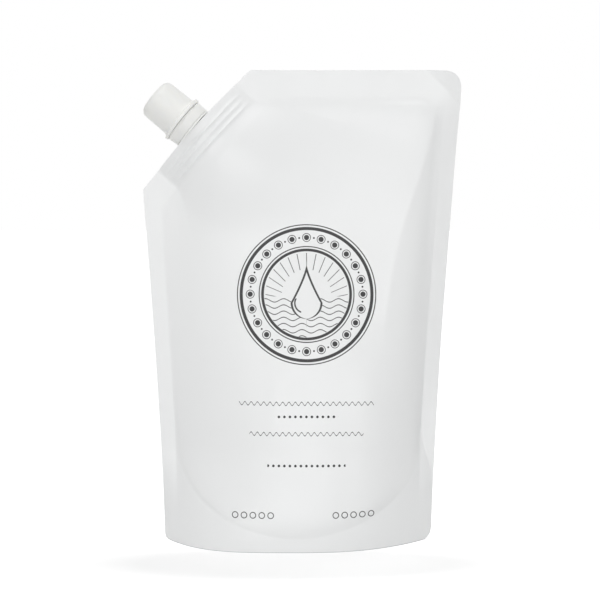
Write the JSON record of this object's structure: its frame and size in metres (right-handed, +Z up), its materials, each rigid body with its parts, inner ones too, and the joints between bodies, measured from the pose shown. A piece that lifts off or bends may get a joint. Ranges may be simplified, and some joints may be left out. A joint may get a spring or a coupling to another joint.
{
  "type": "hand soap refill pouch",
  "caption": "Filled stand-up refill pouch of white film with a folded base and a screw-capped pouring spout in its sloping shoulder.",
  "frame": {"origin": "on the floor under the middle of the pouch, at the flat spot that its base rests on", "axes": "+Z up, the printed front faces -Y, the spout leans out to -X"},
  "size_m": [0.1533, 0.062, 0.2275],
  "materials": {
    "film": "white laminated film, satin to gloss, printed in black on the front",
    "spout_plastic": "natural white moulded polyethylene",
    "cap_plastic": "natural white moulded polyethylene, slightly translucent",
    "liner": "soft white foamed sealing disc"
  },
  "bodies": {
    "pack": {"pouch": "film", "spout": "spout_plastic", "tamper_band": "cap_plastic"},
    "liner": {"seal_disc": "liner"},
    "cap": {"cap": "cap_plastic"}
  },
  "joints": [
    {"name": "cap_rise", "type": "slide", "parent": "pack", "child": "liner", "axis": [-0.7731, 0, 0.6342], "range_m": [0, 0.00905]},
    {"name": "cap_turn", "type": "hinge", "parent": "liner", "child": "cap", "pos_m": [-0.06654, 0, 0.21287], "axis": [-0.7731, 0, 0.6342], "range_deg": [0, 600]}
  ],
  "couplings": [
    {"joint": "cap_rise", "follows": "cap_turn", "m_per_rad": 0.00085944}
  ]
}
